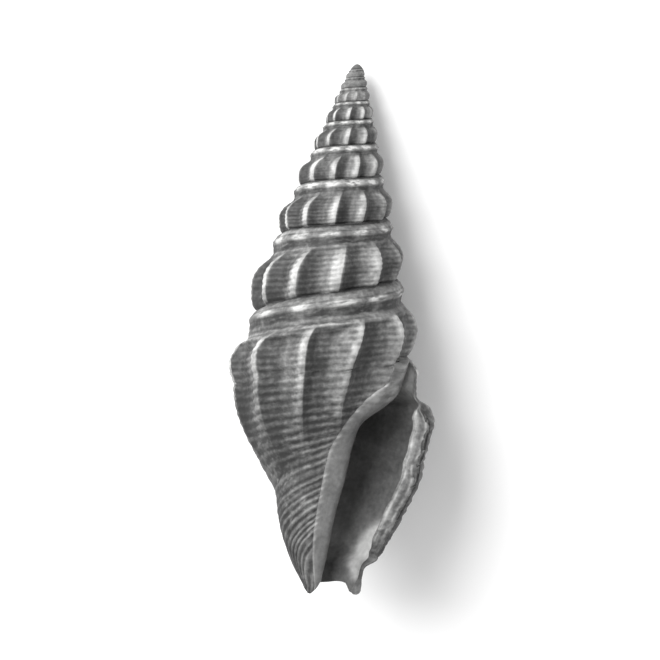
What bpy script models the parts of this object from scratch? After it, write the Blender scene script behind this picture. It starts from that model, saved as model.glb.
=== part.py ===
"""Fossil clavatula shell: a tall ribbed right-handed spiral snail shell, one solid.

The outside is a sheet wound around the coiling axis. Every point of it has a turn, which
counts whole turns of growth and is 0 at the outer lip, a level, which is its distance down
the axis from the tip of the spire, and a radius. The mouth is a second sheet, which runs
from the lip back into the last whorl and out again over the callus beside the columella.
Lengths in the formulas are millimetres; the mesh is written in metres.
"""
import math

import bpy
import numpy as np
from mathutils import Matrix

NAME = "shell"
MM = 0.001

# Driving dimensions, in millimetres, and turns of growth
LENGTH = 45.0
SPIRE_TURNS = 8.3
GROWTH_PER_TURN = 1.340
SEAM_SCALE = 25.665
SEAM_START = 1.505
LAST_WHORL_DROP = 1.075
ENVELOPE_SCALE = 0.5132
ENVELOPE_POWER = 0.85
TIP_RADIUS = 0.36
LIP_TURN = 0.03
RIB_HEIGHT = 0.12
RIB_FRONT = 0.17
RIB_BACK = 0.25
RIB_BOW = 0.012
SHOULDER_LAG = 0.115
WALL_THICKNESS = 0.50
INNER_FILL = 1.7
LIP_THICKNESS = 1.45
LIP_BEVEL = 0.45
CALLUS_THICKNESS = 0.20
CALLUS_SLOPE = 0.36

# How the shell lies: it is leaned back on its spire and rolled until it rests
LEAN = -13.5
ROLL = 0.8
FLAT_DEPTH = 0.20

# Mesh steps
COLUMNS = 60
BASE_ROWS = 14
WALL_STEPS = 6
WHORL_ROWS = (0.0, 0.10, 0.25, 0.38, 0.52, 0.78)
LIP_STEPS = (0.5, 1.0)
CALLUS_STEPS = (0.0, 0.2, 0.45, 0.7)

# Share of the envelope's radius, against position across a whorl from seam to seam:
# seam, cord, hollow ramp, shoulder, flank, next seam
WHORL_PROFILE = (
    (0.00, 0.91), (0.05, 0.96), (0.12, 0.985), (0.18, 0.965), (0.24, 0.935), (0.30, 0.93),
    (0.36, 0.98), (0.43, 1.045), (0.51, 1.08), (0.62, 1.085), (0.75, 1.04), (0.87, 0.99),
    (0.95, 0.94), (1.00, 0.91),
)

# Turn against rib number, counted back from the rib on the front of the last whorl
RIB_MARKS = (
    (-9.5, 95.0), (-6.775, 66.0), (-6.68, 65.0), (-5.842, 56.0), (-5.63, 54.0), (-4.95, 46.0),
    (-4.648, 43.0), (-3.893, 35.0), (-3.625, 32.0), (-2.912, 25.0), (-2.652, 22.0), (-2.572, 21.0),
    (-1.945, 14.0), (-1.86, 13.0), (-1.669, 11.0), (-1.588, 10.0), (-0.905, 3.0), (-0.797, 2.0),
    (-0.714, 1.0), (-0.614, 0.0), (-0.03, -6.0), (0.2, -8.0),
)

# Where the ribs begin across a whorl, against the turn
RIB_STARTS = (
    (-9.5, 0.28), (-2.0, 0.29), (-1.3, 0.31), (-0.8, 0.375), (-0.6, 0.45), (-0.3, 0.45), (0.2, 0.40),
)

# What the outer lip adds to the plain radius or takes away, against the level
LIP_TRIM = (
    (24.3, 0.0), (25.4, 0.10), (26.2, 0.12), (26.7, 0.16), (27.15, 0.12), (27.65, 0.02), (28.15, 0.45),
    (28.6, 0.12), (29.4, 0.04), (31.6, 0.04), (33.0, 0.34), (34.3, 0.44), (35.6, 0.32), (37.2, 0.26),
    (38.8, 0.34), (40.2, 0.40), (41.4, 0.26), (42.3, -0.52), (43.0, -0.40), (43.8, -0.25), (44.6, -0.30),
)

# How far down the sheet reaches, against the turn: a point left of the canal, a notch
# behind it, and a point at the lip
CANAL_ENDS = (
    (-1.2, 43.75), (-0.97, 43.78), (-0.90, 44.10), (-0.82, 44.65), (-0.75, 45.0), (-0.68, 45.05),
    (-0.60, 44.85), (-0.50, 44.40), (-0.42, 43.95), (-0.36, 43.76), (-0.30, 43.75), (-0.07, 43.75),
    (-0.04, 43.8), (-0.005, 44.75), (0.03, 44.85),
)

# How far right of the axis the callus turns its corner into the mouth, against the level
COLUMN_EDGE = (
    (27.0, 6.6), (28.5, 5.3), (29.5, 4.3), (30.5, 3.65), (32.2, 3.2), (35.2, 2.86), (37.7, 2.44),
    (40.3, 2.05), (42.0, 1.52), (42.8, 1.24), (43.9, 0.88), (45.0, 0.6),
)


def ease(x):
    """0 below 0, 1 above 1, and a smooth rise between."""
    x = np.clip(x, 0.0, 1.0)
    return x * x * (3.0 - 2.0 * x)


def bell(x):
    """1 at 0, falling smoothly to nothing on both sides."""
    return np.exp(-np.square(x))


def through(points, x):
    """A smooth curve through the points, read at x."""
    xs, ys = np.array(points).T
    slopes = np.gradient(ys, xs)
    x = np.clip(x, xs[0], xs[-1])
    i = np.clip(np.searchsorted(xs, x) - 1, 0, len(xs) - 2)
    width = xs[i + 1] - xs[i]
    t = (x - xs[i]) / width
    rise = ys[i] + (ys[i + 1] - ys[i]) * t * t * (3.0 - 2.0 * t)
    lean_in = slopes[i] * width * t * (1.0 - t) ** 2
    lean_out = slopes[i + 1] * width * t * t * (1.0 - t)
    return rise + lean_in - lean_out


def seam_level(turn):
    """How far down the axis the seam between two whorls lies."""
    drop = LAST_WHORL_DROP * bell((turn + 0.5) / 0.33)
    return SEAM_SCALE * GROWTH_PER_TURN ** np.asarray(turn, float) - SEAM_START + drop


def envelope(level):
    """Radius of the cone that the whorls fill."""
    level = np.maximum(level, 0.01)
    return ENVELOPE_SCALE * level ** ENVELOPE_POWER + TIP_RADIUS * np.exp(-level / 2.55)


def whorl_girth(turn, across):
    """The last whorl is a little narrow half a turn back, and flares at the lip."""
    narrow = 1.0 - 0.065 * bell((turn + 0.5) / 0.3)
    shoulder = 0.045 * ease((turn + 0.85) / 0.35) * ease((-0.1 - turn) / 0.3) * bell((across - 0.58) / 0.11)
    flare = 1.0 + 0.035 * ease((turn + 0.10) / 0.13) * ease((across - 0.3) / 0.1)
    return (narrow - shoulder) * flare


def neck_radius(turn, level):
    """The column around the canal, which opens out into the lip in the last half turn."""
    column = 3.65 * (1.0 - np.clip((level - 25.4) / 20.8, 0.0, 1.0) ** 2.5)
    canal_wall = 4.35 - 0.35 * ease((level - 41.5) / 2.5)
    opened = np.clip((turn + 0.5) / 0.5, 0.0, 1.1) ** 2
    return column * (1.0 - opened) + canal_wall * opened


def lip_trim(turn, level):
    """The outline of the outer lip, in the last tenth of a turn."""
    near_lip = ease((turn + 0.15) / 0.12)
    on_lip = ease((level - 27.6) / 1.2) * (1.0 - ease((level - 40.8) / 1.0))
    return near_lip * through(LIP_TRIM, level) - LIP_BEVEL * ease((turn - 0.002) / 0.028) * on_lip


def base_radius(turn, level):
    """The underside of a whorl, from its line with the next seam down to the canal."""
    top = seam_level(turn + 1.0)
    depth = 0.36 * top + 2.2 * ease((turn + 0.45) / 0.45) ** 1.5
    top_radius = envelope(top) * through(WHORL_PROFILE, 1.0) * whorl_girth(turn, 1.0)
    fall = np.clip((level - top) / depth, 0.0, 1.0) ** 1.8
    joined = ((top_radius * (1.0 - fall)) ** 6 + neck_radius(turn, level) ** 6) ** (1.0 / 6.0)
    return joined + lip_trim(turn, level)


def smooth_radius(turn, level):
    """The outside without its ribs."""
    top, bottom = seam_level(turn), seam_level(turn + 1.0)
    across = (level - top) / (bottom - top)
    lag = SHOULDER_LAG * ease((turn + 0.85) / 0.35) * bell((across - 0.40) / 0.15)
    flank = envelope(level) * through(WHORL_PROFILE, across - lag) * whorl_girth(turn, across)
    return np.where(across <= 1.0, flank + lip_trim(turn, level), base_radius(turn, level))


def rib_number(turn, level):
    """Counts ribs back from the one on the front of the last whorl. Rib tops lean back."""
    top, bottom = seam_level(turn), seam_level(turn + 1.0)
    below_top = np.maximum((level - top) / (bottom - top) - through(RIB_STARTS, turn), 0.0)
    lean = RIB_BOW * (1.0 + np.cos(2.0 * math.pi * (turn + 0.55))) * (1.0 - 0.55 * ease((turn + 1.2) / 0.3))
    bow = lean * (np.exp(-below_top / 0.25) - 0.2)
    foot = 0.025 * ease((level - 28.5) / 3.5) * ease((-0.74 - turn) / 0.06)
    marks, numbers = np.array(RIB_MARKS).T
    return np.interp(turn + bow + foot, marks, numbers)


def rib_reach(turn, level):
    """How deep the hollows between the ribs are cut, in millimetres at a depth of 1."""
    top, bottom = seam_level(turn), seam_level(turn + 1.0)
    across = (level - top) / (bottom - top)
    flank = 0.08 + 0.92 * ease((across - through(RIB_STARTS, turn) + 0.03) / 0.14)
    fading = 1.0 - ease((level - bottom - 0.2) / (0.30 * bottom))
    size = ease((turn + 7.6) / 0.8) * (1.0 - 0.6 * ease((turn + 0.06) / 0.06))
    return smooth_radius(turn, level) * size * np.where(across <= 1.0, flank, fading)


def ribbed_radius(turn, level):
    """The outside with its ribs: hollows are cut between them, and the crests stay."""
    number = rib_number(turn, level)
    from_crest = number - np.round(number)
    crest = bell(from_crest / np.where(from_crest > 0.0, RIB_FRONT, RIB_BACK))
    return smooth_radius(turn, level) - RIB_HEIGHT * rib_reach(turn, level) * (1.0 - crest)


def canal_end(turn):
    """How far down the sheet reaches."""
    return through(CANAL_ENDS, turn)


def sheet_level(turn, across):
    """Level at a place across the sheet: 0 to 1 over the whorl, 1 to 2 down the base."""
    top, bottom = seam_level(turn), seam_level(turn + 1.0)
    on_whorl = top + (bottom - top) * np.clip(across, 0.0, 1.0)
    on_base = bottom + (canal_end(turn) - bottom) * np.clip(across - 1.0, 0.0, 1.0)
    return np.where(across <= 1.0, on_whorl, on_base)


def callus_turn(level):
    """Where the callus ends on the front of the last whorl."""
    degrees = 17.0 + 50.0 * np.exp(-(np.clip((level - 24.6) / 5.0, 0.0, 25.0)) ** 1.5)
    return -0.75 - (degrees + 10.0 * (1.0 - ease((level - 24.3) / 0.9))) / 360.0


def callus_radius(turn, level):
    """The callus lies on the whorl at the top, and lower down it is a flat band with a corner."""
    angle = 2.0 * math.pi * (-0.75 - turn)
    start = 2.0 * math.pi * (-0.75 - callus_turn(level))
    rest = base_radius(callus_turn(level), level)
    slope = (np.cos(start) + CALLUS_SLOPE * np.sin(start)) / (np.cos(angle) + CALLUS_SLOPE * np.sin(angle))
    corner = through(COLUMN_EDGE, level) / np.maximum(np.sin(angle), 0.05)
    band = ((rest * slope) ** -16.0 + corner ** -16.0) ** (-1.0 / 16.0)
    flat = ease((level - 28.2) / 2.4)
    return base_radius(turn, level) * (1.0 - flat) + band * flat


def lip_width(level):
    """How thick the outer lip's edge is: thin at the top, thick beside the mouth."""
    return 0.30 + (LIP_THICKNESS - 0.30) * ease((level - 27.6) / 1.7) - 0.45 * ease((level - 40.8) / 1.0)


def wound(turn, level, radius):
    """A point of the sheet in space: x to the right, y up the axis, z to the front."""
    angle = 2.0 * math.pi * (turn + 0.75)
    bend = 0.93 * np.clip((level - 38.2) / 5.7, 0.0, 2.0) ** 2 - 0.12 * bell((level - 11.5) / 6.5)
    return (float(bend - radius * np.sin(angle)), -float(level), float(radius * np.cos(angle)))


class Surface:
    """Points and faces that grow into one closed mesh."""

    def __init__(self):
        self.points = []
        self.faces = []

    def point(self, turn, level, radius):
        self.points.append(wound(turn, level, radius))
        return len(self.points) - 1

    def face(self, *corners):
        corners = tuple(dict.fromkeys(corners))
        if len(corners) > 2:
            self.faces.append(corners)

    def between(self, first, second):
        """Quads between two rows of points of the same count."""
        for i in range(len(first) - 1):
            self.face(first[i], first[i + 1], second[i + 1], second[i])

    def narrowing(self, upper, lower):
        """Joins a row to a row with as many points or fewer, which starts further along."""
        missing = len(upper) - len(lower)
        for i in range(missing + 1):
            self.face(upper[i], upper[i + 1], lower[0])
        self.face(upper[missing + 1], lower[1], lower[0])
        self.between(upper[missing + 1:], lower[1:])

    def zip_up(self, first, second):
        """Triangles between two rows of points of unlike counts."""
        places = []
        for row in (first, second):
            spots = np.array([self.points[i] for i in row])
            run = np.cumsum(np.linalg.norm(np.diff(spots, axis=0), axis=1))
            places.append(np.concatenate(([0.0], run / run[-1])))
        i, j = 0, 0
        while i < len(first) - 1 or j < len(second) - 1:
            first_next = places[0][i + 1] if i < len(first) - 1 else 2.0
            second_next = places[1][j + 1] if j < len(second) - 1 else 2.0
            if first_next <= second_next:
                self.face(first[i], first[i + 1], second[j])
                i += 1
            else:
                self.face(first[i], second[j + 1], second[j])
                j += 1


def outside(surface):
    """Winds the sheet: returns its columns over the whorls and its rows down the base."""
    count = round(SPIRE_TURNS * COLUMNS)
    turns = LIP_TURN - np.arange(count, -1, -1) / COLUMNS
    columns = []
    for turn in turns:
        levels = [float(sheet_level(turn, across)) for across in WHORL_ROWS]
        columns.append([surface.point(turn, level, ribbed_radius(turn, level)) for level in levels])
    first_row = [columns[-1][0]]
    for turn in turns[-COLUMNS:]:
        level = float(sheet_level(turn, 1.0))
        first_row.append(surface.point(turn, level, ribbed_radius(turn, level)))
    below = [column[0] for column in columns[COLUMNS:]] + first_row[1:]
    closed = [column + [under] for column, under in zip(columns, below)]
    for older, newer in zip(closed[:-1], closed[1:]):
        surface.between(newer, older)
    rows = [first_row]
    for step in range(1, BASE_ROWS + 1):
        across = 1.0 + step / BASE_ROWS
        start = -0.85
        for _ in range(40):
            start = float(callus_turn(sheet_level(start, across)))
        row = []
        for turn in [start] + [turn for turn in turns[-COLUMNS:] if turn > start + 0.3 / COLUMNS]:
            level = float(sheet_level(turn, across))
            row.append(surface.point(turn, level, ribbed_radius(turn, level)))
        surface.narrowing(rows[-1], row)
        rows.append(row)
    return closed, rows


def close_tip(surface, columns):
    """A rounded cap over the first whorl."""
    edge = [column[0] for column in columns[:COLUMNS + 1]] + columns[0][-2:0:-1]
    tip = surface.point(0.0, 0.0, 0.0)
    ring = []
    for corner in edge:
        x, y, z = surface.points[corner]
        surface.points.append((0.62 * x, 0.10 * y, 0.62 * z))
        ring.append(len(surface.points) - 1)
    for i in range(len(edge)):
        j = (i + 1) % len(edge)
        surface.face(edge[i], ring[i], ring[j], edge[j])
        surface.face(ring[i], tip, ring[j])


def inside(level, back, down):
    """The cavity behind one place on the lip: its turn, the far wall and the near wall."""
    reach = (22.0 + 98.0 * ease((level - 26.6) / 2.2) - 40.0 * ease((down - 0.45) / 0.5)) / 360.0
    turn = LIP_TURN - reach * back
    rise = (seam_level(LIP_TURN) - seam_level(turn)) * (1.0 - down)
    at_end = down ** 10
    deep = level - rise + (canal_end(turn) - canal_end(LIP_TURN)) * at_end
    near_deep = level - rise + (canal_end(turn - 1.0) - canal_end(LIP_TURN)) * at_end
    hollow_floor = smooth_radius(turn, deep) - RIB_HEIGHT * rib_reach(turn, deep)
    bowl = INNER_FILL * ease(back * 2.2) * (1.0 - 0.75 * ease((down - 0.6) / 0.4))
    wall = hollow_floor - WALL_THICKNESS - bowl
    edge = smooth_radius(LIP_TURN, level) - lip_width(level)
    far = wall + (edge - wall) * (1.0 - ease(back * 5.0))
    core = callus_radius(LIP_TURN - 1.0, near_deep)
    near = core + (base_radius(turn - 1.0, near_deep) * 0.9 - core) * ease(back)
    return (turn, deep, far), (turn, near_deep, min(near, far - 0.4))


def mouth(surface, columns, rows):
    """The lip's edge, the cavity behind it and the callus, then the canal's end."""
    lip = columns[-1][:-1] + [row[-1] for row in rows]
    places = list(WHORL_ROWS) + [1.0 + step / BASE_ROWS for step in range(BASE_ROWS + 1)]
    top = float(sheet_level(LIP_TURN, 0.0))
    end = float(sheet_level(LIP_TURN, 2.0))
    paths = []
    for corner, across in zip(lip, places):
        level = float(sheet_level(LIP_TURN, across))
        down = (level - top) / (end - top)
        outer = float(ribbed_radius(LIP_TURN, level))
        path = [corner]
        path += [surface.point(LIP_TURN, level, outer - lip_width(level) * step) for step in LIP_STEPS]
        walls = [inside(level, (step + 1.0) / WALL_STEPS, down) for step in range(WALL_STEPS)]
        path += [surface.point(*far) for far, near in walls]
        path += [surface.point(*near) for far, near in reversed(walls)]
        edge = callus_turn(level)
        for step in CALLUS_STEPS:
            turn = LIP_TURN - 1.0 + (edge - LIP_TURN + 1.0) * step
            pad = 0.35 * bell((level - 27.6) / 1.0) * ease(1.0 - 1.6 * step)
            raised = callus_radius(turn, level) + CALLUS_THICKNESS * ease((level - top) / 0.8) + pad
            below_lip = outer - lip_width(level) - 0.2 + 1.3 * (level - top)
            spot = level + (canal_end(turn) - end) * down ** 10
            path.append(surface.point(turn, spot, min(raised, below_lip)))
        paths.append(path)
    for upper, lower in zip(paths[:-1], paths[1:]):
        surface.between(upper, lower)
    roof = paths[0]
    for i in range(len(roof) // 2):
        surface.face(roof[i], roof[-1 - i], roof[-2 - i], roof[i + 1])
    surface.zip_up([row[0] for row in rows], [path[-1] for path in paths])
    surface.zip_up(rows[-1], paths[-1][::-1])


def resting(surface):
    """The mesh as the shell lies: mouth up, spire along +Y, lowest crests at z = 0."""
    points = np.array(surface.points) * MM
    turned = Matrix.Rotation(math.radians(LEAN), 3, "X") @ Matrix.Rotation(math.radians(ROLL), 3, "Y")
    points = points @ np.array(turned).T
    low, high = points.min(axis=0), points.max(axis=0)
    middle = (low + high) / 2.0
    return points - (middle[0], middle[1], low[2] + FLAT_DEPTH * MM)


def stone():
    """Grey fossil shell."""
    material = bpy.data.materials.new("fossil_stone")
    material.use_nodes = True
    shader = material.node_tree.nodes["Principled BSDF"]
    shader.inputs["Base Color"].default_value = (0.20, 0.20, 0.20, 1.0)
    shader.inputs["Roughness"].default_value = 0.62
    shader.inputs["Metallic"].default_value = 0.0
    return material


def ground_cutter(collection):
    """A slab under z = 0 that cuts the small flat spots the shell rests on."""
    bpy.ops.mesh.primitive_cube_add(size=1.0)
    slab = bpy.context.object
    slab.name = "ground_cutter"
    slab.scale = (2.0 * LENGTH * MM, 2.0 * LENGTH * MM, 4.0 * MM)
    slab.location = (0.0, 0.0, -2.0 * MM)
    for user in slab.users_collection:
        user.objects.unlink(slab)
    collection.objects.link(slab)
    slab.hide_render = True
    slab.display_type = "WIRE"
    return slab


def main():
    for leftover in list(bpy.data.objects):
        bpy.data.objects.remove(leftover)
    parts = bpy.data.collections.new("fossil_clavatula_shell")
    cutters = bpy.data.collections.new("cutters")
    for collection in (parts, cutters):
        bpy.context.scene.collection.children.link(collection)

    surface = Surface()
    columns, rows = outside(surface)
    close_tip(surface, columns)
    mouth(surface, columns, rows)

    mesh = bpy.data.meshes.new(NAME)
    mesh.from_pydata(resting(surface).tolist(), [], surface.faces)
    mesh.validate()
    shell = bpy.data.objects.new(NAME, mesh)
    mesh.materials.append(stone())
    parts.objects.link(shell)

    cut = shell.modifiers.new("resting_flats", "BOOLEAN")
    cut.operation = "DIFFERENCE"
    cut.solver = "EXACT"
    cut.object = ground_cutter(cutters)


main()
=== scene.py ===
# %% [markdown]
# # A fossil spiral shell, wound from one sheet
#
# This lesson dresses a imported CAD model: a tall, ribbed snail shell of about 45 mm that has
# turned to grey stone. The CAD part gives the size and the way the shell lies. Here the same
# sheet is wound again with far smaller steps, and ribs, cords and worn stone are added to it.

# %%
import math

import bpy
import numpy as np
from mathutils import Matrix


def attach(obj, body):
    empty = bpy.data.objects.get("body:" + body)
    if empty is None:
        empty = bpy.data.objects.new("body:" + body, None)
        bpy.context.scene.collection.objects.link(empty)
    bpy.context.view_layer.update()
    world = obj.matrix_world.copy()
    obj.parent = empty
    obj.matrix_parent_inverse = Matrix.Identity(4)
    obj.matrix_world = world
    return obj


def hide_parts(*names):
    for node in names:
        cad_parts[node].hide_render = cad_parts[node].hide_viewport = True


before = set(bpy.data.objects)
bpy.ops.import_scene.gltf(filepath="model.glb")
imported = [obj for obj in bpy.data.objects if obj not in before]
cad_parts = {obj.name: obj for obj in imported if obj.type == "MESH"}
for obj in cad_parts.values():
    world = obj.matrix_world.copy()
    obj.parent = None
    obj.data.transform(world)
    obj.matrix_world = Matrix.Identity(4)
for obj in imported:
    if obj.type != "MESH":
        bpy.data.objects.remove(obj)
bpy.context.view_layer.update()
MM = 0.001

# %% [markdown]
# ## Small helpers
#
# Shell growth is smooth, so almost every size below is a smooth function of how far the snail
# had grown. `ease` is a soft step, `bell` a soft bump, and `through` draws a smooth curve
# through a few measured points.


# %%
def ease(x):
    """0 below 0, 1 above 1, and a smooth rise between."""
    x = np.clip(x, 0.0, 1.0)
    return x * x * (3.0 - 2.0 * x)


def bell(x):
    """1 at 0, falling smoothly to nothing on both sides."""
    return np.exp(-np.square(x))


def through(points, x):
    """A smooth curve through the points, read at x."""
    xs, ys = np.array(points).T
    slopes = np.gradient(ys, xs)
    x = np.clip(x, xs[0], xs[-1])
    i = np.clip(np.searchsorted(xs, x) - 1, 0, len(xs) - 2)
    width = xs[i + 1] - xs[i]
    t = (x - xs[i]) / width
    rise = ys[i] + (ys[i + 1] - ys[i]) * t * t * (3.0 - 2.0 * t)
    lean_in = slopes[i] * width * t * (1.0 - t) ** 2
    lean_out = slopes[i + 1] * width * t * t * (1.0 - t)
    return rise + lean_in - lean_out


# %% [markdown]
# ## The law of growth
#
# A snail adds shell only at the lip, and each turn is a fixed share larger than the one before.
# So one number, the growth per turn, sets where every seam between two whorls lies, and a
# second curve sets the cone that the whorls fill. `turn` counts whole turns and is 0 near the
# lip; `level` is the distance in millimetres down the axis from the tip of the spire. The
# values repeat those of the CAD part, so the fine sheet lies on the coarse one.

# %%
SPIRE_TURNS = 9.0
GROWTH_PER_TURN = 1.340
SEAM_SCALE = 25.665
SEAM_START = 1.505
LAST_WHORL_DROP = 1.075
ENVELOPE_SCALE = 0.5132
ENVELOPE_POWER = 0.85
TIP_RADIUS = 0.36
LIP_TURN = 0.03
SHOULDER_LAG = 0.115
WHORL_PROFILE = (
    (0.00, 0.91), (0.05, 0.96), (0.12, 0.985), (0.18, 0.965), (0.24, 0.935), (0.30, 0.93),
    (0.36, 0.98), (0.43, 1.045), (0.51, 1.08), (0.62, 1.085), (0.75, 1.04), (0.87, 0.99),
    (0.95, 0.94), (1.00, 0.91),
)


def seam_level(turn):
    """How far down the axis the seam between two whorls lies."""
    drop = LAST_WHORL_DROP * bell((turn + 0.5) / 0.33)
    return SEAM_SCALE * GROWTH_PER_TURN ** turn - SEAM_START + drop


def envelope(level):
    """Radius of the cone that the whorls fill."""
    level = np.maximum(level, 0.01)
    return ENVELOPE_SCALE * level ** ENVELOPE_POWER + TIP_RADIUS * np.exp(-level / 2.55)


def whorl_girth(turn, across):
    """The last whorl is a little narrow half a turn back, most at its shoulder, and flares at the lip."""
    narrow = 1.0 - 0.065 * bell((turn + 0.5) / 0.3)
    narrow -= 0.045 * ease((turn + 0.85) / 0.35) * ease((-0.1 - turn) / 0.3) * bell((across - 0.58) / 0.11)
    return narrow * (1.0 + 0.035 * ease((turn + 0.10) / 0.13) * ease((across - 0.3) / 0.1))


print("whorl heights, mm:", [round(float(seam_level(t + 1.0) - seam_level(t)), 1) for t in (-6.0, -3.0, -1.0)])

# %% [markdown]
# ## The underside and the neck
#
# Below the last seam the sheet sweeps in to a narrow neck around the canal. The whorl and the
# neck are two plain curves. A high power mean joins them with a soft corner, which is simpler
# to steer than one complicated curve.

# %%
CANAL_ENDS = (
    (-1.2, 44.05), (-0.97, 43.93), (-0.93, 43.95), (-0.90, 44.03), (-0.86, 44.32), (-0.82, 44.64), (-0.75, 45.0),
    (-0.68, 45.05), (-0.60, 44.85),
    (-0.50, 44.45), (-0.42, 44.22), (-0.30, 44.15), (-0.18, 44.15), (-0.14, 44.06), (-0.11, 43.95), (-0.09, 43.88),
    (-0.07, 43.85), (-0.045, 43.81), (-0.0255, 43.82), (-0.0155, 43.86), (-0.0110, 43.98), (-0.0050, 44.42),
    (-0.0010, 44.64), (0.004, 44.69), (0.03, 44.69),
)
RIM_ROUND = 0.5
LIP_BEVEL = 0.55
LIP_TRIM = (
    (24.3, 0.0), (25.4, 0.10), (26.2, 0.12), (26.7, 0.16), (27.15, 0.12), (27.65, 0.02), (28.15, 0.45), (28.6, 0.12),
    (29.4, 0.04), (31.6, 0.04), (33.0, 0.34), (34.3, 0.44), (35.6, 0.32), (37.2, 0.26), (38.8, 0.34),
    (40.2, 0.40), (41.4, 0.26), (42.3, -0.52), (43.0, -0.40), (43.8, -0.25), (44.6, -0.30),
)


def canal_end(turn):
    """How far down the sheet reaches: a point left of the canal, a notch behind, a point at the lip."""
    return through(CANAL_ENDS, turn)


def rim_round(turn, level):
    """0 on the sheet, rising to 1 at the lip's last half millimetre, where its rim is rounded off."""
    near_end = np.clip((level - canal_end(turn)) / RIM_ROUND + 1.0, 0.0, 1.0)
    return (1.0 - np.sqrt(1.0 - near_end ** 2)) * ease((turn + 0.3) / 0.2)


def neck_radius(turn, level):
    """The column around the canal, which opens out into the lip in the last half turn."""
    column = 3.65 * (1.0 - np.clip((level - 25.4) / 20.8, 0.0, 1.0) ** 2.5)
    canal_wall = 4.35 - 0.35 * ease((level - 41.5) / 2.5)
    opened = np.clip((turn + 0.5) / 0.5, 0.0, 1.1) ** 2
    return column * (1.0 - opened) + canal_wall * opened


def lip_trim(turn, level):
    """What the outer lip adds to the plain radius or takes away, in the last tenth of a turn."""
    near_lip = ease((turn + 0.15) / 0.12)
    on_lip = ease((level - 27.6) / 1.2) * (1.0 - ease((level - 40.8) / 1.0))
    bevel = LIP_BEVEL * ease((turn - 0.002) / 0.028) * on_lip
    return near_lip * through(LIP_TRIM, level) - bevel


def base_radius(turn, level):
    """The underside of a whorl, from its line with the next seam down to the canal."""
    top = seam_level(turn + 1.0)
    depth = 0.36 * top + 2.2 * ease((turn + 0.45) / 0.45) ** 1.5
    top_radius = envelope(top) * through(WHORL_PROFILE, 1.0) * whorl_girth(turn, 1.0)
    fall = np.clip((level - top) / depth, 0.0, 1.0) ** 1.8
    joined = ((top_radius * (1.0 - fall)) ** 6 + neck_radius(turn, level) ** 6) ** (1.0 / 6.0)
    return joined + lip_trim(turn, level) - 0.3 * rim_round(turn, level)


def smooth_radius(turn, level):
    """The outside without its ribs."""
    top, bottom = seam_level(turn), seam_level(turn + 1.0)
    across = (level - top) / (bottom - top)
    lag = SHOULDER_LAG * ease((turn + 0.85) / 0.35) * bell((across - 0.40) / 0.15)
    flank = envelope(level) * through(WHORL_PROFILE, across - lag) * whorl_girth(turn, across)
    return np.where(across <= 1.0, flank + lip_trim(turn, level), base_radius(turn, level))


def sheet_level(turn, across):
    """Level at a place across the sheet: 0 to 1 over the whorl, 1 to 2 down the base."""
    top, bottom = seam_level(turn), seam_level(turn + 1.0)
    on_whorl = top + (bottom - top) * np.clip(across, 0.0, 1.0)
    on_base = bottom + (canal_end(turn) - bottom) * np.clip(across - 1.0, 0.0, 1.0)
    return np.where(across <= 1.0, on_whorl, on_base)


# %% [markdown]
# ## From the sheet to the shell's place
#
# `wound` rolls a point of the sheet around the axis, which bends slightly near the canal. The
# shell lies on its back, leaned on its spire and rolled a little, so `placed` turns each point
# the same way. The CAD part's own tip says where it goes: no fitting by eye is needed.

# %%
LEAN = -13.5
ROLL = 0.8
turned = np.array(
    Matrix.Rotation(math.radians(LEAN), 3, "X") @ Matrix.Rotation(math.radians(ROLL), 3, "Y")
)


def wound(turn, level, radius):
    """Points in the shell's own frame: x to the right, y up the axis, z to the front."""
    angle = 2.0 * math.pi * (turn + 0.75)
    bend = 0.93 * np.clip((level - 38.2) / 5.7, 0.0, 1.08) ** 2 - 0.12 * bell((level - 11.5) / 6.5)
    return np.stack((bend - radius * np.sin(angle), -level, radius * np.cos(angle)), axis=-1)


def outward(turn):
    """Straight out from the axis, in the shell's own frame."""
    angle = 2.0 * math.pi * (turn + 0.75)
    return np.stack((-np.sin(angle), 0.0 * angle, np.cos(angle)), axis=-1)


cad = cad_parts["shell"].data
cad_points = np.empty(len(cad.vertices) * 3, np.float32)
cad.vertices.foreach_get("co", cad_points)
cad_points = cad_points.reshape(-1, 3)
own_tip = wound(np.array([0.0]), np.array([0.0]), np.array([0.0]))[0]
cad_tip = cad_points[np.argmax(cad_points @ turned[:, 1])]
shift = cad_tip - turned @ own_tip * MM


def placed(points):
    """Points of the shell's own frame, in millimetres, where the CAD part has them."""
    return points @ turned.T * MM + shift


print("tip of the spire at, mm:", (cad_tip / MM).round(2))

# %% [markdown]
# ## Where ribs and threads run
#
# Ribs stand along the growth lines. They are numbered, and the table says at which turn each
# number falls, so unequal gaps can follow the real shell. Threads run the other way: ten of
# them on each whorl between the seams, and on the underside a new one about every half
# millimetre, wider apart towards the end of the canal. Both are stored on the sheet as plain
# numbers. The shape itself is made later, by Geometry Nodes.

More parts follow.
